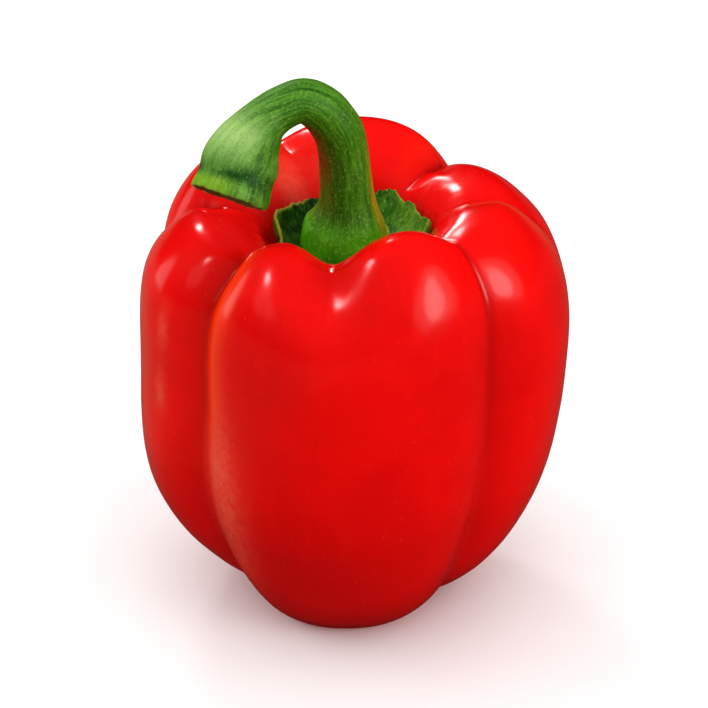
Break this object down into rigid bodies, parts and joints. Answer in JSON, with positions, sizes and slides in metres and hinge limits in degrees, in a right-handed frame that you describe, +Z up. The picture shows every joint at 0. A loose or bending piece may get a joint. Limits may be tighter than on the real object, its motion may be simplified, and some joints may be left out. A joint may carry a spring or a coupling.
{
  "type": "bell pepper",
  "caption": "Ripe red bell pepper standing upright on its feet: glossy lobed fruit with deep shoulder grooves, wrinkled green calyx and a hooked green stem with a cut end.",
  "frame": {"origin": "on the surface the pepper stands on, under the middle of its bounding box", "axes": "+Z up along the fruit's axis towards the stem, -Y the side seen from the front, where the stem hooks to the left (-X) and forwards"},
  "size_m": [0.0855, 0.0801, 0.1143],
  "materials": {
    "pepper_skin": "glossy waxy red skin",
    "calyx_green": "matt wrinkled dark green",
    "stem_green": "satin ribbed green"
  },
  "bodies": {
    "root": {"fruit": "pepper_skin", "calyx": "calyx_green", "stem": "stem_green"}
  },
  "joints": []
}
